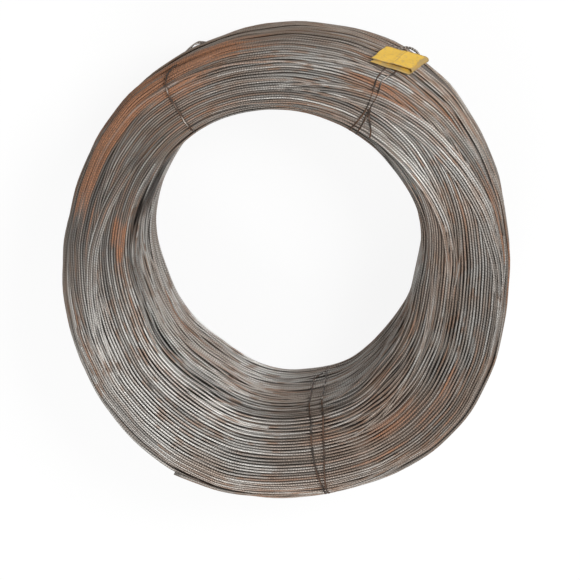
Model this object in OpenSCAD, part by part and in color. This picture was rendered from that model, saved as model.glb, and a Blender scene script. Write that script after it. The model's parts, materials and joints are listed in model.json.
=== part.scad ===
// Coil of indented steel wire, tied in three places, lying flat on one end.
// The coil axis is +Z and the origin lies under the middle of the outer rim, on the floor plane.
// The rim has settled oval: two half turns about axes on Y, with a short straight run between them on each side.
// All sizes are in millimetres and all angles in degrees, counted from +X towards +Y.

/* [Wire] */
// Diameter of one wire of the coil
wire_d = 3; // [2:0.5:6]
// Diameter of the tie wire
tie_d = 1.6; // [1.2:0.1:2.4]

/* [Coil] */
// Diameter of the clear bore, set by the drum that the wire was wound on
bore_d = 364; // [300:2:460]
// Mean width of the ring of turns about the bore
ring_w = 108; // [96:1:140]
// How much longer the rim is along Y than along X
oval = 36; // [8:2:40]
// Height of the coil lying on its end
coil_h = 214; // [170:2:260]
// Distance from the middle of the rim to the bore axis
bore_shift = 20; // [0:1:22]
// Direction in which the bore is shifted
bore_shift_dir = 110; // [90:1:130]
// Rounding of the four shoulders of the section
shoulder_r = 34; // [26:1:36]

/* [Ties] */
// Direction of the single tie at the upper left, about the axis of its half turn
tie_upper_left_dir = 122; // [112:1:132]
// Direction of the double tie at the upper right, about the axis of its half turn
tie_upper_right_dir = 62; // [54:1:72]
// Direction of the double tie at the bottom, about the axis of its half turn
tie_bottom_dir = -77; // [-95:1:-65]
// Space kept between a tie and the floor of its channel
tie_gap = 0.3; // [0.25:0.05:0.5]
// Length of the twisted knot of a tie
knot_l = 24; // [16:1:32]

/* [Tag] */
// Length of the folded tag
tag_l = 56; // [46:1:70]
// Width of the tag
tag_w = 30; // [28:1:34]
// Thickness of one leaf
tag_t = 0.8; // [0.6:0.1:1.2]
// Space between the two leaves
tag_leaf_gap = 0.8; // [0.6:0.1:2]
// Direction of the tag, about the axis of its half turn
tag_dir = 61; // [54:1:70]
// Slope of the tag, 0 faces outwards and 90 faces up
tag_lean = 32; // [20:1:45]
// Distance that the middle of the tag hangs below the place where it lies on the shoulder
tag_drop = 12; // [0:1:13]
// Turn of the tag on its face, which swings its folded end outwards
tag_turn = 9; // [0:1:15]

/* [Hidden] */
bore_r = bore_d / 2;
bore_x = bore_shift * cos(bore_shift_dir);
bore_y = bore_shift * sin(bore_shift_dir);
// Radius of the two half turns of the rim, and the distance of their axes from the middle
end_r = bore_r + ring_w - oval / 4;
end_shift = oval / 2;
// The ring is drawn from this radius, which the bore then cuts away
core_r = bore_r / 2;
// The end faces cut the inner shoulders this far from their crest
lip = 0.15;
// Cuts run this far past the faces that they open
cut_past = 5;
// Mean width of the flat part of each end, and the turns that show on it
land = ring_w - 2 * shoulder_r;
end_turns = max(4, floor(land / wire_d));
// A groove takes half of the pitch where the turns lie closest, and a third of a wire in depth
groove_w = (land - bore_shift) / end_turns / 2;
groove_h = wire_d / 3;
// A strand lies below the turns beside it, with the same space under it and over it
channel_depth = tie_d + 2 * tie_gap;
strand_depth = tie_d / 2 + tie_gap;
// Space between the strands of a double tie, and on each side of a tie or a knot
strand_space = 0.4;
strand_pitch = tie_d + strand_space;
// A knot is two strands thick and lies half-way up the rim, a little deeper than the strands
knot_d = 2 * tie_d;
knot_z = coil_h / 2;
knot_depth = knot_d / 2 + 2 * tie_gap;
// Places of strands and grooves are kept to this step, so that their runs and bends meet exactly
meet_step = 0.01;
// Space between the tag and the shoulder under it
tag_gap = 0.2;

$fn = 96;

// A place kept to the step at which runs and bends meet
function on_step(place) = round(place / meet_step) * meet_step;

// Place on Y of the axis of the half turn that direction dir belongs to
function end_y(dir) = dir > 0 ? end_shift : -end_shift;

// Distance from that axis to the bore wall in direction dir
function bore_wall(dir) =
    let (y = bore_y - end_y(dir))
    bore_x * cos(dir) + y * sin(dir)
    + sqrt(pow(bore_r, 2) - pow(bore_x * sin(dir) - y * cos(dir), 2));

// Moves what is drawn along +X to direction dir about the axis of its half turn
module at_end(dir) {
    translate([0, end_y(dir), 0])
        rotate([0, 0, dir])
            children();
}

// Carries a half section about the oval whose half turns have their axes at shift from the middle
module oval_turn(shift) {
    for (side = [0, 180])
        rotate([0, 0, side]) {
            translate([0, shift, 0])
                rotate_extrude(angle = 180)
                    children();
            rotate([90, 0, 0])
                linear_extrude(height = 2 * shift, center = true)
                    children();
        }
}

// Half section of the ring before its bore is cut, drawn in by inset on every side
module ring_profile(inset) {
    translate([core_r, inset])
        square([end_r - shoulder_r - core_r, coil_h - 2 * inset]);
    translate([core_r, shoulder_r])
        square([end_r - inset - core_r, coil_h - 2 * shoulder_r]);
    for (z = [shoulder_r, coil_h - shoulder_r])
        translate([end_r - shoulder_r, z])
            circle(r = shoulder_r - inset);
}

// Half section of the bore, flared at both mouths by the inner shoulders
module bore_profile(inset) {
    difference() {
        translate([0, -cut_past])
            square([bore_r + shoulder_r, coil_h + 2 * cut_past]);
        translate([bore_r + inset, shoulder_r - lip])
            square([shoulder_r, coil_h - 2 * shoulder_r + 2 * lip]);
        for (z = [shoulder_r - lip, coil_h - shoulder_r + lip])
            translate([bore_r + shoulder_r, z])
                circle(r = shoulder_r - inset);
    }
}

// The coil as one turned solid, drawn in by inset on every side
module turned_coil(inset) {
    difference() {
        oval_turn(end_shift)
            ring_profile(inset);
        translate([bore_x, bore_y, 0])
            rotate_extrude()
                bore_profile(inset);
    }
}

// Grooves between the turns that show on one end, at height z
module end_grooves(z) {
    for (i = [0 : end_turns - 1]) {
        t = (i + 0.5) / end_turns;
        groove_r = (bore_r + shoulder_r) * (1 - t) + (end_r - shoulder_r) * t;
        translate([on_step(bore_x * (1 - t)), on_step(bore_y * (1 - t)), z])
            oval_turn(on_step(end_shift * t))
                translate([on_step(groove_r), 0])
                    polygon([[-groove_w / 2, 0], [0, -groove_h], [groove_w / 2, 0], [0, groove_h]]);
    }
}

// Space in which the strands of one tie lie
module tie_slab(dir, strands) {
    w = strands * strand_pitch + strand_space;
    at_end(dir)
        translate([core_r, -w / 2, -cut_past])
            cube([end_r, w, coil_h + 2 * cut_past]);
}

// Pocket in the rim for the knot of one tie
module knot_pocket(dir) {
    pocket_l = knot_l + 2 * strand_space;
    pocket_h = knot_d + 2 * strand_space;
    depth = knot_depth + knot_d / 2 + tie_gap;
    at_end(dir)
        translate([end_r - depth, -pocket_l / 2, knot_z - pocket_h / 2])
            cube([depth + cut_past, pocket_l, pocket_h]);
}

// One strand: a closed loop of round wire about the section
module strand(dir, y) {
    r_in = on_step(bore_wall(dir) + strand_depth);
    r_out = end_r - strand_depth;
    z_low = strand_depth;
    z_top = coil_h - strand_depth;
    bend = shoulder_r - strand_depth;
    at_end(dir)
        translate([0, y, 0])
            rotate([90, 0, 0]) {
                for (x = [r_in, r_out])
                    translate([x, z_low + bend, 0])
                        rotate([-90, 0, 0])
                            cylinder(d = tie_d, h = z_top - z_low - 2 * bend, $fn = 32);
                for (z = [z_low, z_top])
                    translate([r_in + bend, z, 0])
                        rotate([0, 90, 0])
                            cylinder(d = tie_d, h = r_out - r_in - 2 * bend, $fn = 32);
                translate([r_out - bend, z_top - bend, 0])
                    strand_bend(bend, 0);
                translate([r_in + bend, z_top - bend, 0])
                    strand_bend(bend, 90);
                translate([r_in + bend, z_low + bend, 0])
                    strand_bend(bend, 180);
                translate([r_out - bend, z_low + bend, 0])
                    strand_bend(bend, 270);
            }
}

// Quarter bend of a strand, starting at direction start
module strand_bend(bend, start) {
    rotate([0, 0, start])
        rotate_extrude(angle = 90)
            translate([bend, 0])
                circle(d = tie_d, $fn = 32);
}

// Twisted knot of one tie, laid along the rim
module knot(dir) {
    at_end(dir)
        translate([end_r - knot_depth, 0, knot_z])
            rotate([90, 0, 0])
                cylinder(d = knot_d, h = knot_l, center = true, $fn = 32);
}

module wire_coil() {
    color([0.49, 0.46, 0.42])
        difference() {
            turned_coil(0);
            end_grooves(0);
            end_grooves(coil_h);
            difference() {
                union() {
                    tie_slab(tie_upper_left_dir, 1);
                    tie_slab(tie_upper_right_dir, 2);
                    tie_slab(tie_bottom_dir, 2);
                }
                turned_coil(channel_depth);
            }
            knot_pocket(tie_upper_left_dir);
            knot_pocket(tie_upper_right_dir);
            knot_pocket(tie_bottom_dir);
        }
}

module tie_upper_left() {
    color([0.45, 0.38, 0.30])
        union() {
            strand(tie_upper_left_dir, 0);
            knot(tie_upper_left_dir);
        }
}

module tie_upper_right() {
    color([0.36, 0.25, 0.18])
        union() {
            strand(tie_upper_right_dir, -strand_pitch / 2);
            strand(tie_upper_right_dir, strand_pitch / 2);
            knot(tie_upper_right_dir);
        }
}

module tie_bottom() {
    color([0.42, 0.27, 0.18])
        union() {
            strand(tie_bottom_dir, -strand_pitch / 2);
            strand(tie_bottom_dir, strand_pitch / 2);
            knot(tie_bottom_dir);
        }
}

// Outline of the folded tag seen along its fold
module tag_profile() {
    half = tag_t + tag_leaf_gap / 2;
    straight = tag_l - half;
    fold_x = half - tag_l / 2;
    translate([fold_x, 0])
        square([straight, tag_t]);
    translate([fold_x, tag_t + tag_leaf_gap])
        square([straight, tag_t]);
    translate([fold_x, half])
        difference() {
            circle(r = half, $fn = 32);
            circle(r = tag_leaf_gap / 2, $fn = 32);
            translate([0, -2 * half])
                square([2 * half, 4 * half]);
        }
}

module label_tag() {
    color([0.90, 0.76, 0.33])
        at_end(tag_dir)
            translate([end_r - shoulder_r, 0, coil_h - shoulder_r])
                rotate([0, 90 - tag_lean, 0])
                    translate([tag_drop, 0, shoulder_r + tag_gap])
                        rotate([0, 0, tag_turn])
                            translate([-tag_w / 2, 0, 0])
                                rotate([90, 0, 90])
                                    linear_extrude(height = tag_w)
                                        tag_profile();
}

wire_coil();
tie_upper_left();
tie_upper_right();
tie_bottom();
label_tag();
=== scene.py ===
"""Looks of a tied coil of indented steel wire.

The coil lies flat with its axis along +Z. The photograph looks down on it, with +X to the right and +Y up.
A place on the coil is a direction phi about the axis, a length w round the section of the ring, counted from
the middle of the rim up over the top end and down the bore wall, and a depth under the surface of the ring.
Every turn that shows is a swept tube. The wire runs round and round the coil and works its way about the
section, with a slow wander that makes neighbouring turns part, bunch and cross. Sheaves of wires lie across
them, and a second layer of turns and a core, both darkened with painted shade, lie under them.
"""
import json
import logging
import math
from dataclasses import dataclass, field
from enum import Enum

import bpy
import numpy as np
from mathutils import Matrix, Vector


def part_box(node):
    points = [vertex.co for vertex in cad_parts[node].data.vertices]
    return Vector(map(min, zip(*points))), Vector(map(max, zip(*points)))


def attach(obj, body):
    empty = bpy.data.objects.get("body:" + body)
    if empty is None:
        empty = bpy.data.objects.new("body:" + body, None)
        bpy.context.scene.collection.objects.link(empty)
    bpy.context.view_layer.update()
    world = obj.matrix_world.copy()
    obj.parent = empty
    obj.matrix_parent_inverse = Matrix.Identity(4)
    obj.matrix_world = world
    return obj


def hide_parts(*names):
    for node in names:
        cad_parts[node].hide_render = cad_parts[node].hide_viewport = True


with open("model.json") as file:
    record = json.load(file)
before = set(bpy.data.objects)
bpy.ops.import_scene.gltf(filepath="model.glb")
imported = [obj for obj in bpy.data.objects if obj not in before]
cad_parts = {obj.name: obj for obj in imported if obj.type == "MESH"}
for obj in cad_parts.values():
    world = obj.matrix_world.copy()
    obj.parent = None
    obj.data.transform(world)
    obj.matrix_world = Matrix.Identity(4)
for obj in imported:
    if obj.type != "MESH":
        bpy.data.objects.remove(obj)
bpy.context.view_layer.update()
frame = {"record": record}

LOG = logging.getLogger("wire_coil")
BODY = "root"
MM = 0.001
TURN = 2 * math.pi
LOW_ON_RIM = 110 * MM
PHOTO_SIZE = 580


def srgb(red: int, green: int, blue: int) -> tuple[float, float, float, float]:
    """Turns a colour as seen on a screen into a linear colour.

    Args:
        red: Red, 0 to 255.
        green: Green, 0 to 255.
        blue: Blue, 0 to 255.

    Returns:
        The linear colour with an alpha of 1.
    """
    linear = [((c / 255 + 0.055) / 1.055) ** 2.4 if c > 10 else c / 255 / 12.92 for c in (red, green, blue)]
    return (*linear, 1.0)


class Slot(Enum):
    """Material slots of the record."""

    WIRE = "wire_coil"
    TIE = "tie_wire"
    TAG = "label_tag"


class Value:
    """A number in a shader, on which Python arithmetic adds Math nodes."""

    def __init__(self, shader: "Shader", socket: bpy.types.NodeSocket) -> None:
        """Wraps one output socket of a shader."""
        self.shader = shader
        self.socket = socket

    def _math(self, operation: str, first: object, second: object) -> "Value":
        """Adds one Math node.

        Args:
            operation: Name of the Math node's operation.
            first: Left operand, a Value or a number.
            second: Right operand, a Value or a number.

        Returns:
            The result.
        """
        node = self.shader.node("ShaderNodeMath", {"operation": operation}, {0: first, 1: second})
        return Value(self.shader, node.outputs[0])

    def __add__(self, other: object) -> "Value":
        """Sum."""
        return self._math("ADD", self, other)

    __radd__ = __add__

    def __sub__(self, other: object) -> "Value":
        """Difference."""
        return self._math("SUBTRACT", self, other)

    def __rsub__(self, other: object) -> "Value":
        """Difference, with the number first."""
        return self._math("SUBTRACT", other, self)

    def __mul__(self, other: object) -> "Value":
        """Product."""
        return self._math("MULTIPLY", self, other)

    __rmul__ = __mul__

    def __truediv__(self, other: object) -> "Value":
        """Quotient."""
        return self._math("DIVIDE", self, other)

    def __pow__(self, other: object) -> "Value":
        """Power."""
        return self._math("POWER", self, other)

    def sine(self) -> "Value":
        """Sine of an angle in radians."""
        return self._math("SINE", self, 0.0)

    def highest(self, other: object) -> "Value":
        """The larger of two values."""
        return self._math("MAXIMUM", self, other)

    def step(self, low: float, high: float) -> "Value":
        """Rises smoothly from 0 at low to 1 at high.

        Args:
            low: Value at which the result is 0.
            high: Value at which the result is 1.

        Returns:
            The eased share between the two.
        """
        node = self.shader.node(
            "ShaderNodeMapRange",
            {"interpolation_type": "SMOOTHSTEP"},
            {"Value": self, "From Min": low, "From Max": high},
        )
        return Value(self.shader, node.outputs["Result"])


class Shader:
    """A node material while it is being written."""

    def __init__(self, name: str) -> None:
        """Starts an empty node material."""
        self.material = bpy.data.materials.new(name)
        self.material.use_nodes = True
        self.tree = self.material.node_tree
        self.tree.nodes.clear()

    def node(self, kind: str, settings: dict | None = None, inputs: dict | None = None) -> bpy.types.Node:
        """Adds one node.

        Args:
            kind: Blender's name of the node type.
            settings: Properties of the node, set first.
            inputs: Values, sockets or Values for its inputs, by name or number.

        Returns:
            The node.
        """
        made = self.tree.nodes.new(kind)
        for key, setting in (settings or {}).items():
            setattr(made, key, setting)
        for key, given in (inputs or {}).items():
            source = given.socket if isinstance(given, Value) else given
            if isinstance(source, bpy.types.NodeSocket):
                self.tree.links.new(source, made.inputs[key])
            else:
                made.inputs[key].default_value = source
        return made

    def place(self) -> bpy.types.NodeSocket:
        """Object coordinates."""
        return self.node("ShaderNodeTexCoord").outputs["Object"]

    def attribute(self, name: str) -> Value:
        """A number that the mesh carries at its points."""
        return Value(self, self.node("ShaderNodeAttribute", {"attribute_name": name}).outputs["Fac"])

    def parts(self, vector: bpy.types.NodeSocket) -> list[Value]:
        """The three parts of a vector."""
        split = self.node("ShaderNodeSeparateXYZ", inputs={0: vector})
        return [Value(self, socket) for socket in split.outputs]

    def vector(self, x: object, y: object, z: object) -> bpy.types.NodeSocket:
        """A vector from three numbers."""
        return self.node("ShaderNodeCombineXYZ", inputs={0: x, 1: y, 2: z}).outputs[0]

    def noise(self, vector: bpy.types.NodeSocket, scale: float, detail: float = 2.0) -> Value:
        """Cloudy noise.

        Args:
            vector: Where it is read.
            scale: Clouds per unit of the vector.
            detail: Number of finer octaves.

        Returns:
            Noise about 0.5.
        """
        made = self.node("ShaderNodeTexNoise", inputs={"Vector": vector, "Scale": scale, "Detail": detail})
        return Value(self, made.outputs["Fac"])

    def mix(self, share: object, first: object, second: object) -> bpy.types.NodeSocket:
        """Mixes two colours.

        Args:
            share: Share of the second colour.
            first: Colour or socket at share 0.
            second: Colour or socket at share 1.

        Returns:
            The mixed colour.
        """
        made = self.node("ShaderNodeMix", {"data_type": "RGBA"}, {0: share, 6: first, 7: second})
        return made.outputs[2]

    def bump(self, height: Value, strength: float, distance: float) -> bpy.types.NodeSocket:
        """Turns a height into a bent normal.

        Args:
            height: Relief, 0 to 1.
            strength: Share of the relief that is used.
            distance: Depth of the relief in metres.

        Returns:
            The normal.
        """
        made = self.node(
            "ShaderNodeBump", inputs={"Height": height, "Strength": strength, "Distance": distance}
        )
        return made.outputs["Normal"]

    def surface(self, **inputs: object) -> bpy.types.Material:
        """Ends the material in one Principled surface.

        Args:
            **inputs: Socket values, with _ for a space in the socket's name.

        Returns:
            The finished material.
        """
        named = {key.replace("_", " "): given for key, given in inputs.items()}
        shine = self.node("ShaderNodeBsdfPrincipled", inputs=named)
        self.node("ShaderNodeOutputMaterial", inputs={"Surface": shine.outputs[0]})
        return self.material


@dataclass(frozen=True)
class Patch:
    """A patch along the turns.

    It holds its middle direction and reach in degrees, its length round the section and its width in mm, and
    its strength.
    """

    phi: float
    reach: float
    w: float
    width: float
    strength: float

    def near(self, x: Value, y: Value, w: Value) -> Value:
        """How strong the patch is.

        It is strongest where the cosine of the angle to its middle is 1 and where the length round the
        section is its own.

        Args:
            x: Place along X.
            y: Place along Y.
            w: Length round the section, in metres.

        Returns:
            A share of its strength.
        """
        angle = math.radians(self.phi)
        facing = (x * math.cos(angle) + y * math.sin(angle)) / (x * x + y * y) ** 0.5
        beside = (w * (1 / (self.width * MM)) - self.w / self.width) ** 2.0
        facing = facing.step(math.cos(math.radians(self.reach)), 1.0)
        return facing * (1.0 - beside).step(0.0, 0.8) * self.strength


def together(patches: tuple[Patch, ...], x: Value, y: Value, w: Value) -> Value:
    """Sum of several patches at a place."""
    return sum((patch.near(x, y, w) for patch in patches), 0.0)


@dataclass(frozen=True)
class WireFinish:
    """Dull drawn steel with indents, brown stains and rust that runs along the turns."""

    name: str = "drawn_steel"
    bright: tuple = srgb(187, 184, 179)
    dull: tuple = srgb(106, 103, 99)
    stain: tuple = srgb(138, 119, 104)
    rust: tuple = srgb(166, 112, 76)
    deep_rust: tuple = srgb(122, 84, 60)
    soil: tuple = srgb(126, 106, 88)
    fleck: tuple = srgb(128, 102, 84)
    shadow: tuple = srgb(42, 37, 33)
    deepest: tuple = srgb(20, 17, 14)
    indent_pitch: float = 3.2 * MM
    shade: float = 1.0
    # Share of painted shade on the sides of each wire, where it meets its neighbours.
    crevice_shade: float = 0.6
    rim_soil: float = 0.3
    rim_edge: tuple[float, float] = (40 * MM, 110 * MM)
    wall_edge: tuple[float, float] = (200 * MM, 250 * MM)
    arcs: tuple[Patch, ...] = (
        Patch(140, 34, 110, 16, 0.42),
        Patch(128, 42, 66, 46, 0.34),
        Patch(110, 12, 86, 24, 0.26),
        Patch(116, 10, 128, 12, 0.28),
        Patch(165, 8, 171, 8, 0.36),
        Patch(168, 9, 183, 8, 0.36),
        Patch(176, 8, 180, 6, 0.26),
        Patch(62, 16, 127, 15, 0.22),
        Patch(-51, 14, 149, 10, 0.22),
        Patch(-36, 16, 129, 12, 0.22),
        Patch(-70, 22, 118, 16, 0.12),
        Patch(20, 34, 84, 24, 0.14),
    )
    worn: Patch = Patch(-142, 54, 180, 62, 0.12)
    # Patches of painted shadow in hollows of the coil.
    hollow_shadows: tuple[Patch, ...] = (Patch(147, 18, 255, 62, 0.9), Patch(159, 12, 208, 9, 0.7))
    # Patches of deeper painted shade between the wires and a darker tone.
    shaded_patches: tuple[Patch, ...] = (Patch(144, 52, 160, 78, 0.8), Patch(82, 34, 176, 60, 0.6))
    dusty: Patch = Patch(-62, 66, 190, 138, 0.66)
    soiled: Patch = Patch(142, 92, 0, 125, 0.34)

    def material(self) -> bpy.types.Material:
        """Writes the node material.

        Each wire has its own tone, which changes slowly along it, brown flecks, and painted shade on its
        sides, where it meets its neighbours. Rust follows streaks along the turns and the listed arcs, whose
        dust takes most of the painted shade out of the gaps. One patch is worn bright, the bore wall is
        lightened, partly as a cleaner finish and partly as painted light, shaded patches have deeper painted
        shade and a darker tone, the dusty patch has less painted shade and more stain, and hollows carry a
        painted shadow.
        The rim is soiled, most of all along one patch. Indents are a slanted wave along the wire, with
        painted shade in them that is darker in marked zones. A layer whose shade is below 1 is darkened all
        over with painted shade, least in the dusty patch.

        Returns:
            The material.
        """
        s = Shader(self.name)
        here = s.place()
        x, y, z = s.parts(here)
        turn = s.attribute("turn")
        along = s.attribute("along")
        w = s.attribute("section")
        streak = s.noise(s.vector(x * 6.0, y * 6.0, turn * 1.3 + z * 3.0), 1.0, 3.0) * 1.4 - 0.2
        tone = s.noise(s.vector(x * 2.5, y * 2.5, turn * 2.3), 1.0, 1.0)
        along = along + s.noise(s.vector(turn * 1.3, 0.0, 0.0), 1.0, 0.0) * 20 * MM
        cloud = s.noise(here, 11.0, 3.0)
        grain = s.noise(here, 700.0, 2.0)
        fleck = s.noise(s.vector(x * 42.0, y * 42.0, turn * 3.1), 1.0, 1.0)
        marked = s.noise(here, 14.0, 1.0)
        worn = self.worn.near(x, y, w)
        shaded_patches = together(self.shaded_patches, x, y, w)
        dusty = self.dusty.near(x, y, w)
        hollow_shadow = together(self.hollow_shadows, x, y, w)
        extra = together(self.arcs, x, y, w) - worn
        rust = (streak + extra + (cloud - 0.5) * 0.35 + (grain - 0.5) * 0.2).step(0.58, 0.96)
        crest = s.attribute("crest")
        # Painted shade on the side of each wire turned away from the open side, deeper in the shaded patches,
        # with most of it taken away by the listed arcs and the dusty patch.
        crevice_shade = (1.0 - crest.step(0.25, 0.9)) * self.crevice_shade
        crevice_shade = crevice_shade.highest((1.0 - crest.step(0.6, 1.0)) * shaded_patches)
        crevice_shade = crevice_shade * (1.0 - extra.step(0.1, 0.5) * 0.7) * (1.0 - dusty)
        indent = (along * (TURN / self.indent_pitch)).sine().step(-0.3, 0.8)
        wall = w.step(*self.wall_edge)
        # The worn patch is lighter; the bore wall is lightened, partly as a cleaner finish and partly as
        # painted light; the shaded patches are darker as painted shade.
        tone = tone + worn + wall * 0.4 - shaded_patches * 0.14
        steel = s.mix(tone.step(0.3, 0.72), self.dull, self.bright)
        stained = (cloud * 0.6 + streak * 0.4 - worn + dusty * 0.14).step(0.38, 0.64)
        steel = s.mix(stained * 0.65, steel, self.stain)
        soiled = self.soiled.near(x, y, w) + (1.0 - w.step(*self.rim_edge)) * self.rim_soil
        steel = s.mix(soiled, steel, self.soil)
        steel = s.mix(fleck.step(0.5, 0.66) * (1.0 - marked.step(0.42, 0.62) * 0.7) * 0.75, steel, self.fleck)
        rusty = s.mix(grain.step(0.35, 0.65), self.deep_rust, self.rust)
        colour = s.mix(rust * 0.85, steel, rusty)
        # Painted shade in the indents, darker in marked zones.
        colour = s.mix(indent * (0.1 + marked.step(0.42, 0.6) * 0.28), colour, self.shadow)
        # Painted shade on the sides of the wires and painted shadow in the hollows.
        colour = s.mix(crevice_shade.highest(hollow_shadow), colour, self.shadow)
        # Painted shade over a lower layer, a little deeper on the walls and least in the dusty patch.
        if self.shade < 1.0:
            colour = s.mix((1.0 - dusty) * (1.0 - self.shade) + wall * 0.04, colour, self.deepest)
        return s.surface(
            Base_Color=colour,
            Metallic=(0.7 - rust * 0.6) * (1.0 - crevice_shade * 0.6),
            Roughness=0.38 + rust * 0.3 + grain * 0.12 + crevice_shade * 0.2,
            Normal=s.bump(1.0 - indent, 0.6, 0.14 * MM),
        )


@dataclass(frozen=True)
class TieFinish:
    """Thin annealed wire, dark brown with rust and a few bare glints."""

    name: str = "tie_steel"
    dark: tuple = srgb(50, 42, 37)
    rust: tuple = srgb(86, 62, 47)
    bare: tuple = srgb(176, 168, 160)

    def material(self) -> bpy.types.Material:
        """Writes the node material.

        Returns:
            The material.
        """
        s = Shader(self.name)
        here = s.place()
        patch = s.noise(here, 60.0, 3.0)
        grain = s.noise(here, 1500.0, 2.0)
        glint = s.noise(here, 38.0, 1.0).step(0.62, 0.72).highest(s.attribute("bare"))
        colour = s.mix(patch.step(0.4, 0.6), self.dark, self.rust)
        colour = s.mix(glint * 0.7, colour, self.bare)
        return s.surface(
            Base_Color=colour,
            Metallic=0.35 + glint * 0.4,
            Roughness=0.62 - glint * 0.22,
            Normal=s.bump(grain, 0.3, 0.1 * MM),
        )


@dataclass(frozen=True)
class TagFinish:
    """Yellow sheet with grey dirt on its edges, ochre on its long borders, and ochre painted shade on its
    fold, crease and lower leaf.
    """

    name: str = "tag_sheet"
    yellow: tuple = srgb(204, 165, 62)
    ochre: tuple = srgb(176, 130, 24)
    dirt: tuple = srgb(140, 126, 92)

    def material(self) -> bpy.types.Material:
        """Writes the node material.

        Returns:
            The material.
        """
        s = Shader(self.name)
        here = s.place()
        edge = s.attribute("edge")
        blotch = s.noise(here, 140.0, 4.0)
        smudge = s.noise(here, 260.0, 5.0).step(0.46, 0.72)
        fibre = s.noise(here, 1600.0, 3.0)
        dirt = (edge * 0.5 + blotch * 0.8).step(0.6, 0.95).highest(smudge * 0.5)
        # Ochre on the long borders and ochre painted shade on the fold, the crease and the lower leaf.
        colour = s.mix((edge * 0.7 + fibre * 0.3).step(0.35, 1.0), self.yellow, self.ochre)
        colour = s.mix(dirt * 0.7, colour, self.dirt)
        return s.surface(
            Base_Color=colour,
            Roughness=0.62 + fibre * 0.15,
            Normal=s.bump(fibre, 0.25, 0.15 * MM),
        )


@dataclass(frozen=True)
class CoreFinish:
    """Deep turns that only show as darkness between the others, coloured with painted shade."""

    name: str = "deep_turns"
    # Colours of painted shade.
    dark: tuple = srgb(30, 26, 23)
    brown: tuple = srgb(50, 40, 32)

    def material(self) -> bpy.types.Material:
        """Writes the node material.

        Returns:
            The material.
        """
        s = Shader(self.name)
        blotch = s.noise(s.place(), 40.0, 3.0)
        # Painted shade: dark brown blotches for turns that only show as darkness.
        return s.surface(
            Base_Color=s.mix(blotch.step(0.35, 0.65), self.dark, self.brown),
            Roughness=0.85,
            Metallic=0.1,
        )


@dataclass(frozen=True)
class FloorFinish:
    """Pale floor that the camera sees as white, with part of the shadow left on it."""

    name: str = "pale_floor"
    pale: tuple = (0.86, 0.86, 0.86, 1.0)
    white_share: float = 0.9

    def material(self) -> bpy.types.Material:
        """Writes the node material.

        Returns:
            The material.
        """
        s = Shader(self.name)
        path = s.node("ShaderNodeLightPath")
        seen = Value(s, path.outputs["Is Camera Ray"])
        seen = seen.highest(Value(s, path.outputs["Is Glossy Ray"]))
        seen = seen.highest(Value(s, path.outputs["Is Transmission Ray"]))
        matt = s.node("ShaderNodeBsdfDiffuse", inputs={"Color": self.pale})
        white = s.node("ShaderNodeEmission", inputs={"Color": (1, 1, 1, 1), "Strength": 1.0})
        both = s.node(
            "ShaderNodeMixShader",
            inputs={0: seen * self.white_share, 1: matt.outputs[0], 2: white.outputs[0]},
        )
        s.node("ShaderNodeOutputMaterial", inputs={"Surface": both.outputs[0]})
        return s.material


@dataclass
class Shell:
    """A mesh while it is being worked out.

    It holds its points, the corners of its faces, the number of corners of each face, and numbers at its
    points.
    """

    points: np.ndarray
    corners: np.ndarray
    counts: np.ndarray
    numbers: dict[str, np.ndarray] = field(default_factory=dict)

    @staticmethod
    def joined(shells: list["Shell"]) -> "Shell":
        """Puts several shells into one.

        Args:
            shells: The shells, which all carry the same numbers.

        Returns:
            One shell.
        """
        starts = np.cumsum([0] + [len(shell.points) for shell in shells[:-1]])
        return Shell(
            np.concatenate([shell.points for shell in shells]),
            np.concatenate([shell.corners + start for shell, start in zip(shells, starts)]),
            np.concatenate([shell.counts for shell in shells]),
            {key: np.concatenate([shell.numbers[key] for shell in shells]) for key in shells[0].numbers},
        )

    def piece(self, name: str, material: bpy.types.Material) -> bpy.types.Object:
        """Puts the arrays into a new mesh object at the origin.

        Args:
            name: Name of the piece.
            material: Its material.

        Returns:
            The object.
        """
        mesh = bpy.data.meshes.new(name)
        mesh.vertices.add(len(self.points))
        mesh.vertices.foreach_set("co", np.ascontiguousarray(self.points, np.float32).ravel())
        mesh.loops.add(len(self.corners))
        mesh.loops.foreach_set("vertex_index", np.ascontiguousarray(self.corners, np.int32))
        mesh.polygons.add(len(self.counts))
        starts = np.concatenate([[0], np.cumsum(self.counts)[:-1]])
        mesh.polygons.foreach_set("loop_start", starts.astype(np.int32))
        mesh.update(calc_edges=True)
        mesh.polygons.foreach_set("use_smooth", np.ones(len(self.counts), bool))
        for key, values in self.numbers.items():
            carried = mesh.attributes.new(key, "FLOAT", "POINT")
            carried.data.foreach_set("value", np.ascontiguousarray(values, np.float32))
        mesh.validate()
        mesh.materials.append(material)
        made = bpy.data.objects.new(name, mesh)
        bpy.context.scene.collection.objects.link(made)
        return made


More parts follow.
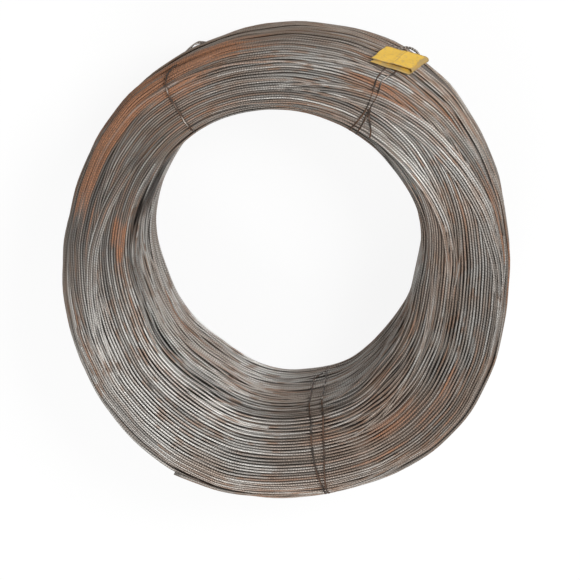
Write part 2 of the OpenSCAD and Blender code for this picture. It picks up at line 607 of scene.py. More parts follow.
def tube(path: np.ndarray, normal: np.ndarray, radius: float, sides: int) -> Shell:
    """Carries a circle along a path and closes both ends.

    Each point of the path gets a ring of points at the radius, turned from below the given normal about the
    path's own direction. Neighbouring rings are joined by quads and each end by one flat face.

    Args:
        path: Points of the middle line, one row each.
        normal: A direction across the path at each point.
        radius: Radius of the tube.
        sides: Sides of the circle.

    Returns:
        The closed tube.
    """
    ahead = np.gradient(path, axis=0)
    ahead /= np.linalg.norm(ahead, axis=1, keepdims=True)
    across = np.cross(ahead, normal)
    across /= np.linalg.norm(across, axis=1, keepdims=True)
    up = np.cross(across, ahead)
    angle = math.pi + np.arange(sides) * TURN / sides
    ring = up[:, None] * np.cos(angle)[None, :, None] + across[:, None] * np.sin(angle)[None, :, None]
    points = (path[:, None] + radius * ring).reshape(-1, 3)
    row = np.arange(len(path) - 1)[:, None] * sides
    side = np.arange(sides)[None]
    after = (side + 1) % sides
    quads = np.stack([row + side, row + sides + side, row + sides + after, row + after], -1).reshape(-1)
    first = np.arange(sides)
    last = len(points) - 1 - np.arange(sides)
    corners = np.concatenate([quads, first, last])
    counts = np.concatenate([np.full(len(quads) // 4, 4), [sides, sides]])
    return Shell(points, corners, counts)


def smoothed(values: np.ndarray, width: int = 3) -> np.ndarray:
    """Averages a row of numbers with its neighbours under a bell, with its ends held."""
    reach = 3 * width
    bell = np.exp(-0.5 * (np.arange(-reach, reach + 1) / width) ** 2)
    return np.convolve(np.pad(values, reach, "edge"), bell / bell.sum(), "valid")


def run_length(path: np.ndarray) -> np.ndarray:
    """Length along a path at each of its points."""
    return np.concatenate([[0], np.cumsum(np.linalg.norm(np.diff(path, axis=0), axis=1))])


@dataclass
class Wander:
    """Smooth random drift of a wire as it goes round.

    The drift at turn t and direction phi is a sum of waves about the coil, cos(m phi) and sin(m phi), whose
    heights are themselves smooth random functions of t. It is continuous along the whole wire.
    """

    seed: int
    size: float
    turns_alike: float
    waves: int
    fall: float = 0.7

    def at(self, turn: np.ndarray) -> np.ndarray:
        """Works out the drift.

        Args:
            turn: Turns counted along the wire.

        Returns:
            The drift in metres, with the stated size as its usual amount.
        """
        draw = np.random.default_rng(self.seed)
        step = self.turns_alike / 4
        knots = np.arange(turn.min() - 4 * self.turns_alike, turn.max() + 4 * self.turns_alike, step)
        bell = np.exp(-0.5 * (np.arange(-12, 13) / 4.0) ** 2)
        bell /= np.sqrt((bell**2).sum())
        phi = TURN * turn
        total = np.zeros_like(turn)
        power = 0.0
        for m in range(self.waves + 1):
            share = (m + 1) ** -self.fall
            for wave in (np.cos(m * phi), np.sin(m * phi)):
                height = np.convolve(draw.normal(size=len(knots)), bell, "same")
                total += share * np.interp(turn, knots, height) * wave
            power += share**2
        return self.size * total / math.sqrt(power)


@dataclass(frozen=True)
class Wave:
    """Slow departure of a wall from its circle: waves about the coil, and the cosine and sine parts in mm."""

    waves: int
    cosine: float
    sine: float

    def at(self, phi: np.ndarray) -> np.ndarray:
        """The departure in metres in the given directions."""
        return MM * (self.cosine * np.cos(self.waves * phi) + self.sine * np.sin(self.waves * phi))


@dataclass
class CoilForm:
    """Shape that the turns lie on: a ring whose bore is off its middle and whose walls are a little oval.

    The section is a rounded rectangle. A place on it is the length round the section from the middle of the
    rim, up, over the top end, down the bore wall and back under the bottom end.
    """

    outer_radius: float
    bore_radius: float
    bore_x: float
    bore_y: float
    height: float
    shoulder: float = 34 * MM
    outer_waves: tuple[Wave, ...] = (
        Wave(0, 0.6, 0.0), Wave(2, -9.0, 2.3), Wave(3, -0.6, -1.6), Wave(4, -2.7, -0.8), Wave(5, -0.5, -0.3),
        Wave(6, 0.4, 1.1), Wave(9, -0.2, 0.3), Wave(17, 0.2, 0.2), Wave(26, -0.3, 0.2),
    )
    bore_waves: tuple[Wave, ...] = (
        Wave(0, -1.0, 0.0), Wave(1, 0.0, 0.7), Wave(2, -7.4, -1.5), Wave(3, -1.0, 2.4), Wave(4, 0.5, 1.3),
        Wave(5, -0.5, 0.1), Wave(7, -0.2, 0.6), Wave(8, -0.5, -0.7), Wave(9, -0.6, 0.4),
    )
    half: float = field(init=False)
    rise: float = field(init=False)
    girth: float = field(init=False)
    table: dict[str, np.ndarray] = field(init=False)

    def __post_init__(self) -> None:
        """Tabulates the mean section by its length."""
        self.half = (self.outer_radius - self.bore_radius) / 2
        self.rise = rise = self.height / 2 - self.shoulder
        flat = self.half - self.shoulder
        turn = np.linspace(0, math.pi / 2, 25)
        angle = np.concatenate([turn + k * math.pi / 2 for k in range(4)])
        p = np.repeat([flat, -flat, -flat, flat], 25) + self.shoulder * np.cos(angle)
        q = np.repeat([rise, rise, -rise, -rise], 25) + self.shoulder * np.sin(angle)
        p, q, angle = np.append(p, p[0]), np.append(q, q[0]), np.append(angle, TURN)
        length = np.concatenate([[0], np.cumsum(np.hypot(np.diff(p), np.diff(q)))])
        self.girth = length[-1]
        self.table = {"w": length + rise, "p": p, "q": q, "np": np.cos(angle), "nq": np.sin(angle)}

    def bottom_start(self) -> float:
        """Length round the section to the middle of the bottom end."""
        arc = math.pi / 2 * self.shoulder
        flat = 2 * (self.half - self.shoulder)
        return 3 * self.rise + 3 * arc + 1.5 * flat

    def read(self, w: np.ndarray, *keys: str) -> list[np.ndarray]:
        """Columns of the table at lengths round the section."""
        place = np.mod(w - self.rise, self.girth) + self.rise
        return [np.interp(place, self.table["w"], self.table[key]) for key in keys]

    def homes(self, pitch: float, spread: float, rim: float, bore: float) -> tuple[np.ndarray, np.ndarray]:
        """Shares the turns of one layer out round the section.

        Turns lie a pitch apart on the ends, up to 1 + spread pitches apart on the shoulders, where they are
        stacked in steps, and 1 + rim and 1 + bore pitches apart on the walls.

        Args:
            pitch: Distance between turns on the ends.
            spread: How much wider they lie on the shoulders.
            rim: How much wider they lie on the rim.
            bore: How much wider they lie on the bore wall.

        Returns:
            Turns, and their lengths round the section from the middle of the bottom end.
        """
        w = np.linspace(0, self.girth, 2000)
        out, up = self.read(w + self.bottom_start(), "np", "nq")
        wider = 2 * spread * np.abs(out * up)
        wider = wider + rim * np.maximum(out, 0) ** 12 + bore * np.maximum(-out, 0) ** 12
        density = 1 / (pitch * (1 + wider))
        return np.concatenate([[0], np.cumsum((density[1:] + density[:-1]) / 2 * np.diff(w))]), w

    def bulge(self, phi: np.ndarray) -> np.ndarray:
        """How far the rim stands out from its circle in the given directions."""
        return sum(wave.at(phi) for wave in self.outer_waves)

    def lie(self, phi: np.ndarray, w: np.ndarray, depth: np.ndarray) -> tuple[np.ndarray, np.ndarray]:
        """Finds points on or under the surface of the ring.

        The mean section is stretched in width to the width of the ring in that direction and set at that
        direction's mean radius. Both walls depart from their circles by their waves.

        Args:
            phi: Directions about the axis, in radians.
            w: Lengths round the section.
            depth: Depths under the surface.

        Returns:
            The points and the outward normals.
        """
        p, q, n_p, n_q = self.read(w, "p", "q", "np", "nq")
        c, s = np.cos(phi), np.sin(phi)
        toward = self.bore_x * c + self.bore_y * s
        beside = self.bore_x * s - self.bore_y * c
        wall = toward + np.sqrt(self.bore_radius**2 - beside**2)
        wall = wall + sum(wave.at(phi) for wave in self.bore_waves)
        rim = self.outer_radius + self.bulge(phi)
        radius = (rim + wall) / 2 + p * (rim - wall) / 2 / self.half - n_p * depth
        points = np.stack([radius * c, radius * s, self.height / 2 + q - n_q * depth], -1)
        normals = np.stack([n_p * c, n_p * s, n_q], -1)
        return points, normals


@dataclass(frozen=True)
class Parting:
    """A gap between turns.

    It holds its middle direction and reach in degrees, its length round the section in mm and how that
    changes in mm a degree, how far it pushes turns aside and lets them sink in mm, and the widths in mm over
    which its push sets in and fades.
    """

    phi: float
    reach: float
    w: float
    slope: float
    push: float
    sink: float
    onset: float = 2.5
    fade: float = 45.0

    def _off(self, phi: np.ndarray, w: np.ndarray) -> tuple[np.ndarray, np.ndarray]:
        """Distances from the gap's line in mm, and a bell about its direction."""
        away = np.degrees(np.angle(np.exp(1j * (phi - math.radians(self.phi)))))
        return w / MM - self.w - self.slope * away, np.exp(-((away / self.reach) ** 2))

    def shift(self, phi: np.ndarray, w: np.ndarray) -> np.ndarray:
        """Pushes turns away from the gap.

        The push is a soft step across the gap, fades away from it, and is a bell about its direction.

        Args:
            phi: Directions, in radians.
            w: Lengths round the section, in metres.

        Returns:
            The change of w, in metres.
        """
        off, bell = self._off(phi, w)
        return MM * self.push * np.tanh(off / self.onset) * np.exp(-((off / self.fade) ** 2)) * bell

    def sunk(self, phi: np.ndarray, w: np.ndarray) -> np.ndarray:
        """Lets the turns in the gap sink, by a bell across it as wide as its push.

        Args:
            phi: Directions, in radians.
            w: Lengths round the section, in metres.

        Returns:
            The added depth, in metres.
        """
        off, bell = self._off(phi, w)
        return MM * self.sink * np.exp(-((off / (1.5 + self.push)) ** 2)) * bell


@dataclass(frozen=True)
class Wire:
    """Radius of a wire and the sides of its tube."""

    radius: float
    sides: int = 6


@dataclass
class CoilPiece:
    """What every piece of the coil has: its name, the form that it lies on and its material."""

    name: str
    form: CoilForm
    finish: bpy.types.Material


@dataclass
class TurnLayer(CoilPiece):
    """One layer of turns, wound as one wire that works its way round the section."""

    wire: Wire
    pitch: float
    depth: float
    first_turn: float
    seed: int
    partings: tuple[Parting, ...] = ()
    steps: int = 144
    pieces: int = 1
    spread: float = 0.1
    rim_spread: float = 0.0
    bore_spread: float = 0.0
    drift: float = 4.0 * MM
    stray: float = 0.35 * MM
    lift: float = 0.35 * MM
    wall_lift: float = 0.0
    lump: float = 0.45 * MM

    def build(self) -> list[bpy.types.Object]:
        """Lays the whole wire, cuts it into pieces that share their end points, and sweeps each.

        Returns:
            The pieces.
        """
        turns, homes = self.form.homes(self.pitch, self.spread, self.rim_spread, self.bore_spread)
        turn = np.arange(int(turns[-1] * self.steps)) / self.steps
        w = self._places(turn, np.interp(turn, turns, homes))
        path, normal = self.form.lie(TURN * turn, w, self._depths(turn, w))
        cuts = np.linspace(0, len(turn) - 1, self.pieces + 1).astype(int)
        made = []
        for k in range(self.pieces):
            part = slice(cuts[k], cuts[k + 1] + 1)
            shell = carry_wire(path[part], normal[part], turn[part] + self.first_turn, w[part], self.wire)
            made.append(shell.piece(f"{self.name}_{k + 1}", self.finish))
        return made

    def _places(self, turn: np.ndarray, home: np.ndarray) -> np.ndarray:
        """Works out where the wire lies round the section.

        It lies at its home, moved by a broad drift that neighbours share and a small one that they do not,
        and pushed aside by the partings. Lengths run from low on the rim, so that a parting there has one
        length.

        Args:
            turn: Turns along the wire.
            home: Lengths round the section from the middle of the bottom end.

        Returns:
            Lengths round the section.
        """
        w = home + self.form.bottom_start()
        w = w + Wander(self.seed, self.drift, turns_alike=24.0, waves=4).at(turn)
        w = w + Wander(self.seed + 1, self.stray, turns_alike=0.9, waves=12, fall=0.4).at(turn)
        w = np.mod(w + LOW_ON_RIM, self.form.girth) - LOW_ON_RIM
        return w + sum(parting.shift(TURN * turn, w) for parting in self.partings)

    def _depths(self, turn: np.ndarray, w: np.ndarray) -> np.ndarray:
        """Works out how deep the wire lies.

        Args:
            turn: Turns along the wire.
            w: Lengths round the section.

        Returns:
            The sum of its radius, its layer's depth, its own sinking, which is larger on the walls, broad
            lumps and the gaps that it crosses.
        """
        steep = self.form.read(w, "np")[0] ** 2
        sunk = np.abs(Wander(self.seed + 2, 1.0, turns_alike=0.8, waves=10, fall=0.4).at(turn))
        sunk = sunk * (self.lift + self.wall_lift * steep)
        lumps = np.abs(Wander(self.seed + 3, self.lump, turns_alike=12.0, waves=14, fall=0.2).at(turn))
        gaps = sum(parting.sunk(TURN * turn, w) for parting in self.partings)
        return self.wire.radius + self.depth + sunk + lumps + gaps


def carry_wire(path: np.ndarray, normal: np.ndarray, turn: np.ndarray, w: np.ndarray, wire: Wire) -> Shell:
    """Sweeps a wire and gives it the numbers that its finish reads.

    The length along the wire grows by one indent pitch round each ring of points, so that the indents slant.
    The crest is half of 1 plus the cosine of the angle from a direction that lies between the normal and +Z:
    1 on the open side of the wire and 0 on its hidden side.

    Args:
        path: Its middle line.
        normal: The outward normal of the ring at each point.
        turn: Turns along it, which tell wires apart.
        w: Lengths round the section.
        wire: Its radius and sides.

    Returns:
        The tube.
    """
    shell = tube(path, normal, wire.radius, wire.sides)
    sides = wire.sides
    open_side = normal + np.array([0.0, 0.0, 0.8])
    open_side /= np.linalg.norm(open_side, axis=1, keepdims=True)
    ring = (shell.points.reshape(len(path), sides, 3) - path[:, None]) / wire.radius
    slant = np.tile(np.arange(sides) / sides * WireFinish.indent_pitch, len(path))
    shell.numbers = {
        "turn": np.repeat(turn, sides),
        "along": np.repeat(run_length(path), sides) + slant,
        "section": np.repeat(w, sides),
        "crest": ((1 + (ring * open_side[:, None]).sum(-1)) / 2).ravel(),
    }
    return shell


@dataclass(frozen=True)
class Sheaf:
    """Wires that cross the others together.

    It holds its middle direction and reach in degrees, its length round the section in mm, how far it moves
    round the section in mm a turn, its number of wires, and how far a cut first end springs out in mm, which
    is 0 where that end dives under the others.
    """

    phi: float
    reach: float
    w: float
    run: float
    wires: int
    sprung: float = 0.0


@dataclass
class LooseTurns(CoilPiece):
    """Stretches of wire that lie across the others, alone or in sheaves, and dive under them at both ends."""

    wire: Wire
    sheaves: tuple[Sheaf, ...]
    pitch: float = 3.1 * MM
    dive: float = 0.07
    buried: float = 2.6
    drift: float = 2.5 * MM
    stray: float = 0.3 * MM
    steps: int = 144
    seed: int = 71

    def build(self) -> list[bpy.types.Object]:
        """Sweeps the loose turns as one mesh.

        Returns:
            The piece.
        """
        shells = [self._one(k, n) for k, sheaf in enumerate(self.sheaves) for n in range(sheaf.wires)]
        return [Shell.joined(shells).piece(self.name, self.finish)]

    def _one(self, k: int, n: int) -> Shell:
        """Makes one wire of a sheaf.

        It moves evenly round the section, with a slow drift that the sheaf shares and a small one of its own.
        A sheaf of more wires stands out further. Over the last dive, in turns, an end goes down to the buried
        depth, in radii of the wire.

        Args:
            k: Number of the sheaf.
            n: Number of the wire in it.

        Returns:
            Its tube.
        """
        sheaf = self.sheaves[k]
        own = self.seed + 100 * k + n
        early, late = np.random.default_rng(own).uniform(0.6, 1.0, 2) * sheaf.reach / 360
        if sheaf.sprung:
            early = sheaf.reach / 360
        away = np.linspace(-early, late, int(self.steps * (early + late)) + 4)
        turn = sheaf.phi / 360 + away
        w = sheaf.w * MM + self.pitch * (n - sheaf.wires / 2) + sheaf.run * MM * away
        w = w + Wander(self.seed + 100 * k, self.drift, turns_alike=3.0, waves=4).at(turn)
        w = w + Wander(own + 50, self.stray, turns_alike=3.0, waves=8).at(turn)
        held = np.minimum(turn - turn[0] + self.dive * (sheaf.sprung > 0), turn[-1] - turn)
        ends = np.clip(held / self.dive, 0, 1)
        ease = ends * ends * (3 - 2 * ends)
        proud = (0.4 + 0.2 * sheaf.wires) * MM + sheaf.sprung * MM * np.clip(-away / early, 0, 1) ** 2
        depth = self.wire.radius * (self.buried - (self.buried - 1) * ease) - proud * ease
        path, normal = self.form.lie(TURN * turn, w, depth)
        return carry_wire(path, normal, np.full(len(turn), 900.0 + 9 * k + 1.7 * n), w, self.wire)


@dataclass
class DeepCore(CoilPiece):
    """Closed body under the turns, dark with painted shade."""

    depth: float
    around: int = 192
    about: int = 120

    def build(self) -> list[bpy.types.Object]:
        """Makes the surface of all points at one depth under the ring, as a closed grid.

        Returns:
            The piece.
        """
        phi, w = np.meshgrid(
            np.arange(self.around) * TURN / self.around,
            np.arange(self.about) * self.form.girth / self.about,
            indexing="ij",
        )
        points, _ = self.form.lie(phi.ravel(), w.ravel(), np.full(phi.size, self.depth))
        i, j = np.meshgrid(np.arange(self.around), np.arange(self.about), indexing="ij")
        row, far_row = i * self.about, (i + 1) % self.around * self.about
        after = (j + 1) % self.about
        quads = np.stack([row + j, far_row + j, far_row + after, row + after], -1)
        return [Shell(points, quads.reshape(-1), np.full(i.size, 4)).piece(self.name, self.finish)]


@dataclass(frozen=True)
class Strand:
    """One strand of a tie: lengths round the section in mm, and its direction in degrees at each of them."""

    w: tuple[float, ...]
    phi: tuple[float, ...]
    whole: bool = True


@dataclass
class Tie(CoilPiece):
    """A tie of thin wire about the section, with a twisted knot on the rim."""

    radius: float
    strands: tuple[Strand, ...]
    knot: tuple[tuple[float, float, float], ...]
    knot_twists: float = 4.5
    wall_proud: float = -1.8
    step: float = 1.5 * MM
    under_reach: float = 62 * MM
    under_depth: float = 1.2 * MM
    end_lift: float = 1.5 * MM
    sides: int = 8

    def build(self) -> list[bpy.types.Object]:
        """Sweeps the strands and the two wires of the knot as one mesh.

        Returns:
            The piece.
        """
        shells = [self._strand(strand) for strand in self.strands]
        shells += [self._twist(0.0), self._twist(math.pi)]
        for k, shell in enumerate(shells):
            shell.numbers = {"bare": np.full(len(shell.points), float(k >= len(self.strands)))}
        return [Shell.joined(shells).piece(self.name, self.finish)]

    def _strand(self, strand: Strand) -> Shell:
        """Lays one strand round the section.

        Its direction is read off between the listed places and smoothed. It lies on the turns of the top end,
        and in among the turns elsewhere, so that the coil still rests on its turns. Its height over the turns
        is read off in the same way. A strand that is not whole lifts off at its last end.

        Args:
            strand: The strand.

        Returns:
            Its tube.
        """
        low = self.form.bottom_start()
        first = strand.w[0] * MM
        last = first + self.form.girth if strand.whole else strand.w[-1] * MM
        w = np.linspace(first, last, int((last - first) / self.step))
        phi = smoothed(np.interp(w / MM, strand.w, strand.phi))
        sunk = np.exp(-(((w - low) / self.under_reach) ** 6))
        places = (76, 96, 196, 214, 316, 346, 440, 500)
        heights = (-3.4, 1.1, 1.1, self.wall_proud, self.wall_proud, -1.8, -1.8, -3.4)
        proud = smoothed(np.interp(w / MM, places, heights)) * MM
        depth = -proud * (1 - sunk) + self.under_depth * sunk
        if not strand.whole:
            depth = depth - self.end_lift * np.linspace(0, 1, len(w)) ** 2
        path, _ = self.form.lie(np.radians(phi), w, depth)
        side = np.stack([-np.sin(np.radians(phi)), np.cos(np.radians(phi)), np.zeros_like(phi)], -1)
        return tube(path, side, self.radius, self.sides)

    def _twist(self, start: float) -> Shell:
        """Winds one of the two wires of the knot.

        It is a helix of one wire radius about the smoothed line through the places of the knot.

        Args:
            start: Angle at which the helix starts.

        Returns:
            Its tube.
        """
        t = np.linspace(0, 1, 120)
        stops = np.linspace(0, 1, len(self.knot))
        phi, w, lift = (smoothed(np.interp(t, stops, column)) for column in np.array(self.knot).T)
        line, normal = self.form.lie(np.radians(phi), w * MM, -lift * MM)
        side = np.cross(np.gradient(line, axis=0), normal)
        side /= np.linalg.norm(side, axis=1, keepdims=True)
        angle = start + TURN * self.knot_twists * t[:, None]
        ring = np.cos(angle) * normal + np.sin(angle) * side
        return tube(line + self.radius * ring, ring, self.radius, self.sides)


@dataclass
class Tag(CoilPiece):
    """Folded sheet on the outer shoulder, held under the tie."""

    phi: float = math.radians(62.9)
    lean: float = math.radians(32.0)
    turn: float = math.radians(14.2)
    length: float = 52 * MM
    width: float = 29.4 * MM
    drop: float = 12.6 * MM
    lift: float = 1.6 * MM
    skew: float = 17.6 * MM
    thickness: float = 0.8 * MM
    open_gap: float = 1.0 * MM
    fold_gap: float = 5.4 * MM
    fold_swell: float = 0.9
    leaf_slip: float = 4.8 * MM
    crease_at: float = 0.52
    crease_rise: float = 0.9 * MM
    crease_dip: float = 0.5 * MM
    edge_wave: float = 0.5 * MM
    face_wave: float = 0.35 * MM

    def build(self) -> list[bpy.types.Object]:
        """Sweeps the folded sheet across the width of the tag and gives it its thickness.

        Returns:
            The piece.
        """
        piece = self._sheet().piece(self.name, self.finish)
        wall = piece.modifiers.new("sheet_thickness", "SOLIDIFY")
        wall.thickness = self.thickness
        wall.offset = 0.0
        return [piece]

    def _sheet(self) -> Shell:
        """Works out the middle surface of the folded sheet.

        Along the sheet, the upper leaf runs to the fold, half a circle turns it round and the lower leaf runs
        back. The leaves part from the open end to the fold, the upper one has a shallow crease across it, and
        the lower one stands out at the inner border. Across the width the sheet is skewed, and the fold
        swells to its outer border. The crease line, the end of the upper leaf by the fold, the fold and the
        lower leaf carry painted shade, which goes into one number at the points with the long borders.

        Returns:
            The open surface.
        """
        half = self.fold_gap / 2
        leaf = np.linspace(0, 1, 61)
        bend = np.linspace(0, math.pi, 14)[1:-1]
        end = self.length / 2
        fold = half - end
        out, back = end + (fold - end) * leaf, fold + (end - fold) * leaf
        run = np.concatenate([out, fold - half * np.sin(bend), back])
        gap = self.open_gap + (self.fold_gap - self.open_gap) * leaf
        line = np.exp(-(((leaf - self.crease_at) / 0.02) ** 2))
        crease = self.crease_rise * np.exp(-(((leaf - self.crease_at) / 0.06) ** 2)) - self.crease_dip * line
        height = np.concatenate([gap + crease, half + half * np.cos(bend), 0 * leaf])
        lower = np.concatenate([0 * leaf, bend / math.pi, 1 + 0 * leaf])
        # Painted shade along the sheet: the crease line, the end of the upper leaf by the fold, the fold and
        # the lower leaf.
        shade = np.concatenate([np.maximum(0.8 * line, 0.7 * leaf**16), 0.95 + 0 * bend, 0.8 + 0 * leaf])
        swell = np.concatenate([0 * leaf, half * np.sin(bend), 0 * leaf])
        v = np.linspace(-0.5, 0.5, 15)
        along, side = np.meshgrid(np.arange(len(run)), v, indexing="ij")
        down = side * self.width - self.leaf_slip * lower[along]
        ripple = self.edge_wave * np.sin(9 * side + 40 * run[along] / self.length)
        across = run[along] - self.skew * side + ripple
        across = across - self.fold_swell * swell[along] * np.clip((side + 0.1) / 0.5, 0, 1)
        up = height[along] + self.face_wave * np.sin(7 * side + 11 * run[along] / self.length)
        points = self._place(down.ravel(), across.ravel(), up.ravel())
        rows, columns = along.shape
        i, j = np.meshgrid(np.arange(rows - 1), np.arange(columns - 1), indexing="ij")
        start = i * columns + j
        quads = np.stack([start, start + 1, start + columns + 1, start + columns], -1)
        # The long borders and the painted shade go into one number.
        rim = np.maximum(0.9 * np.abs(2 * side) ** 8, shade[along])
        numbers = {"edge": rim.ravel()}
        return Shell(points, quads.reshape(-1), np.full(i.size, 4), numbers)

    def _place(self, down: np.ndarray, across: np.ndarray, up: np.ndarray) -> np.ndarray:
        """Moves points of the sheet to the shoulder of the coil.

        Args:
            down: Distances outwards and down the slope of the tag.
            across: Distances along the tag, against the photograph's right.
            up: Heights above the slope.

        Returns:
            The points.
        """
        c, s = math.cos(self.phi), math.sin(self.phi)
        radial, beside, rise = np.array([c, s, 0.0]), np.array([-s, c, 0.0]), np.array([0.0, 0.0, 1.0])
        normal = radial * math.cos(self.lean) + rise * math.sin(self.lean)
        slope = radial * math.sin(self.lean) - rise * math.cos(self.lean)
        down_axis = slope * math.cos(self.turn) + beside * math.sin(self.turn)
        across_axis = beside * math.cos(self.turn) - slope * math.sin(self.turn)
        rim = self.form.outer_radius + self.form.bulge(np.array([self.phi]))[0]
        seat = radial * (rim - self.form.shoulder) + rise * (self.form.height - self.form.shoulder)
        seat = seat + normal * (self.form.shoulder + self.lift) + slope * self.drop
        return seat + down[:, None] * down_axis + across[:, None] * across_axis + up[:, None] * normal


@dataclass(frozen=True)
class Lamp:
    """A square lamp: its direction and rise in degrees, distance and side in metres, and power in watts."""

    name: str
    azimuth: float
    rise: float
    reach: float
    size: float
    power: float

    def hang(self, middle: Vector) -> None:
        """Hangs the lamp so that it faces the middle of the coil.

        Args:
            middle: The middle of the coil.
        """
        azimuth, rise = math.radians(self.azimuth), math.radians(self.rise)
        away = Vector(
            (math.cos(rise) * math.cos(azimuth), math.cos(rise) * math.sin(azimuth), math.sin(rise))
        )
        data = bpy.data.lights.new(self.name, "AREA")
        data.size = self.size
        data.energy = self.power
        lamp = bpy.data.objects.new(self.name, data)
        lamp.location = middle + self.reach * away
        lamp.rotation_euler = (-away).to_track_quat("-Z", "Y").to_euler()
        bpy.context.scene.collection.objects.link(lamp)


@dataclass
class Studio:
    """Floor, lamps and camera."""

    middle: Vector
    metres_per_pixel: float = 1.281 * MM
    floor_size: float = 12.0
    floor_drop: float = 0.5 * MM
    room_light: float = 0.44
    lamps: tuple[Lamp, ...] = (
        Lamp("key", 36, 52, 2.6, 0.9, 55.0),
        Lamp("fill", 256, 46, 2.6, 1.1, 35.0),
    )
    tilt: float = math.radians(15.0)
    lean_to: float = math.radians(69.0)
    distance_pixels: float = 1870.0
    middle_pixel: tuple[float, float] = (287.1, 252.0)
    sensor: float = 36.0

    def build(self) -> None:
        """Makes the floor, the lamps, the world and the camera."""
        self._floor()
        self._light()
        self._camera()

    def _floor(self) -> None:
        """Lays a large pale plane under the coil."""
        half = self.floor_size / 2
        points = np.array([[-half, -half, 0], [half, -half, 0], [half, half, 0], [-half, half, 0]])
        points[:, 2] = -self.floor_drop
        floor = Shell(points, np.arange(4), np.array([4])).piece("floor", FloorFinish().material())

    def _light(self) -> None:
        """Sets a soft white world and hangs the lamps, the stronger one at the picture's upper right."""
        world = bpy.data.worlds.new("soft_room")
        bpy.context.scene.world = world
        world.use_nodes = True
        background = world.node_tree.nodes["Background"]
        background.inputs["Color"].default_value = (1, 1, 1, 1)
        background.inputs["Strength"].default_value = self.room_light
        for lamp in self.lamps:
            lamp.hang(self.middle)

    def _camera(self) -> None:
        """Sets the camera over the coil, leaning towards the top of the picture."""
        back = Vector(
            (
                math.sin(self.tilt) * math.cos(self.lean_to),
                math.sin(self.tilt) * math.sin(self.lean_to),
                math.cos(self.tilt),
            )
        )
        up = Vector((0, 1, 0)) - back * back.y
        up.normalize()
        right = up.cross(back)
        data = bpy.data.cameras.new("photo_camera")
        data.sensor_width = self.sensor
        data.lens = self.sensor * self.distance_pixels / PHOTO_SIZE
        data.shift_x = (PHOTO_SIZE / 2 - self.middle_pixel[0]) / PHOTO_SIZE
        data.shift_y = (self.middle_pixel[1] - PHOTO_SIZE / 2) / PHOTO_SIZE
        camera = bpy.data.objects.new("photo_camera", data)
        place = self.middle + back * self.distance_pixels * self.metres_per_pixel
        camera.matrix_world = Matrix.Translation(place) @ Matrix((right, up, back)).transposed().to_4x4()
        bpy.context.scene.collection.objects.link(camera)
        bpy.context.scene.camera = camera


def dress(pieces: list[bpy.types.Object], slot: Slot, *nodes: str) -> None:
    """Ties finished pieces to the coil's body and hides the solids that they stand for.

    Args:
        pieces: The pieces.
        slot: Material slot of the record. It is not used.
        *nodes: Solids that they stand for.
    """
    for piece in pieces:
        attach(piece, BODY)
        if nodes:
            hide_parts(*nodes)
        LOG.info("%s: %d faces", piece.name, len(piece.data.polygons))


def coil_form() -> CoilForm:
    """Reads the sizes of the coil from the frame.

    Returns:
        The form that the turns lie on.
    """
    low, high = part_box("wire_coil")
    eye = next(m for m in frame["record"]["mounts"] if m["name"] == "eye")
    return CoilForm(
        outer_radius=(high.x - low.x + high.y - low.y) / 4,
        bore_radius=eye["dims"]["r_mm"] * MM,
        bore_x=eye["pos_m"][0],
        bore_y=eye["pos_m"][1],
        height=high.z - low.z,
    )


def partings() -> tuple[Parting, ...]:
    """Gaps between the turns: those that the photograph shows, and small ones all over.

    Returns:
        The gaps.
    """
    draw = np.random.default_rng(5)
    least = (-180, 5, -100, -0.9, 0.3, 0.2)
    most = (180, 18, 360, 0.9, 1.1, 1.4)
    small = [Parting(*draw.uniform(least, most)) for _ in range(70)]
    return (
        Parting(146, 16, 222, -0.6, 7.0, 7.0),
        Parting(42, 14, 199, 0.2, 3.0, 4.0),
        Parting(-150, 24, 84, 0.0, 3.0, 3.0),
        *small,
    )


def sheaves() -> tuple[Sheaf, ...]:
    """Wires that cross the turns: those that the photograph shows on the right, and smaller ones all over.

    Returns:
        The sheaves.
    """
    draw = np.random.default_rng(8)
    found = [
        Sheaf(46, 56, 108, 160, 5),
        Sheaf(42, 60, 132, 280, 8),
        Sheaf(40, 50, 176, 150, 5),
        Sheaf(165, 50, 150, -160, 5),
        Sheaf(-96, 22, 92, -20, 2, 5.0),
        Sheaf(-110, 19, 185, 20, 1, 2.0),
    ]
    for _ in range(60):
        phi, reach, w, run, wires = draw.uniform((-180, 25, -60, -1, 1), (180, 70, 330, 1, 4))
        found.append(Sheaf(phi, reach, w, run * (60 + 140 * math.cos(math.radians(phi)) ** 2), int(wires)))
    return tuple(found)


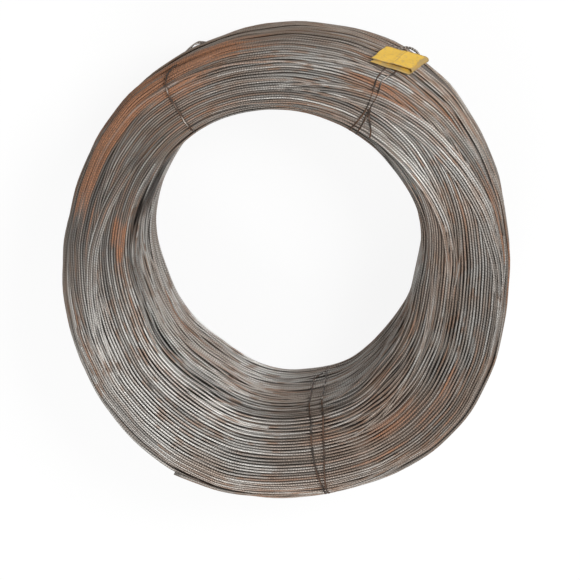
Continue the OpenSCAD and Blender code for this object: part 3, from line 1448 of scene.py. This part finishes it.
def ties(form: CoilForm, finish: bpy.types.Material, radius: float) -> list[Tie]:
    """The three ties, with the strands where the photograph shows them.

    Args:
        form: The form that they lie on.
        finish: Their material.
        radius: Radius of the tie wire.

    Returns:
        The ties.
    """
    upper_left = (
        Strand((-20, 60, 85, 98, 108, 126, 154, 199, 590), (117, 116.5, 116, 119, 120, 121, 121, 121, 119)),
    )
    upper_right = (
        Strand((-20, 60, 105, 118, 131, 162, 200, 590), (63.5, 64, 64.8, 65.8, 65.2, 64.5, 66.5, 64.5)),
        Strand(
            (-20, 60, 104, 118, 138, 153, 173, 195, 590),
            (62.8, 62, 62.2, 64.5, 63.5, 63.8, 63.5, 63.8, 63.5),
        ),
        Strand((158, 166, 174, 180, 188), (63.5, 63.2, 61.2, 59.8, 59.2), whole=False),
    )
    bottom = (
        Strand(
            (-20, 60, 107, 126, 143, 168, 184, 316, 356, 590),
            (-78.5, -79, -79.2, -79.8, -80.2, -79.8, -78.8, -79.8, -75, -78),
        ),
        Strand(
            (-20, 60, 106, 127, 150, 167, 192, 280, 356, 590),
            (-78, -78, -78.5, -77.8, -76.5, -75.5, -73.5, -73.8, -75, -77.5),
        ),
    )
    left_knot = ((117.5, -24, -1.0), (114.8, -28, 3.8), (113.4, -30, 3.4), (111.4, -30, -1.0))
    right_knot = ((63.6, -20, -2.0), (62.4, -24, 5.0), (60.8, -26, 8.0), (59.4, -28, 8.0), (58.4, -30, 6.0))
    return [
        Tie("tie_upper_left_wire", form, finish, radius, upper_left, left_knot, knot_twists=0.7),
        Tie("tie_upper_right_wire", form, finish, radius, upper_right, right_knot),
        Tie("tie_bottom_wire", form, finish, radius, bottom, ((-81, 0, 1.8), (-76, -4, 2.4)), wall_proud=0.9),
    ]


def main() -> None:
    """Builds every piece and the studio."""
    logging.basicConfig(level=logging.INFO)
    scene = bpy.context.scene
    scene.view_settings.view_transform = "Standard"
    form = coil_form()
    wire = Wire(1.45 * MM)
    inner_wire = Wire(1.45 * MM, 5)
    steel = WireFinish().material()
    # The inner layer is darkened with painted shade.
    deep_steel = WireFinish(name="inner_steel", shade=0.62).material()
    gaps = partings()
    outer = TurnLayer(
        "outer_turns", form, steel, wire, pitch=3.45 * MM, depth=0.0, first_turn=0.0, seed=11, partings=gaps,
        pieces=2, rim_spread=3.6, bore_spread=1.5, wall_lift=1.3 * MM,
    )
    inner = TurnLayer(
        "inner_turns", form, deep_steel, inner_wire, pitch=3.2 * MM, depth=2.3 * MM, first_turn=500.0,
        seed=31, partings=gaps, steps=96, bore_spread=1.2,
    )
    for layer in (outer, inner):
        dress(layer.build(), Slot.WIRE, "wire_coil")
    dress(LooseTurns("loose_turns", form, steel, wire, sheaves()).build(), Slot.WIRE, "wire_coil")
    # The core is coloured with painted shade.
    dress(DeepCore("deep_core", form, CoreFinish().material(), 7.0 * MM).build(), Slot.WIRE, "wire_coil")
    for tie in ties(form, TieFinish().material(), 0.95 * MM):
        dress(tie.build(), Slot.TIE, tie.name.removesuffix("_wire"))
    dress(Tag("tag_sheet", form, TagFinish().material()).build(), Slot.TAG, "label_tag")
    Studio(Vector((form.bore_x / 2, form.bore_y / 2, form.height / 2))).build()


if __name__ == "__main__":
    main()
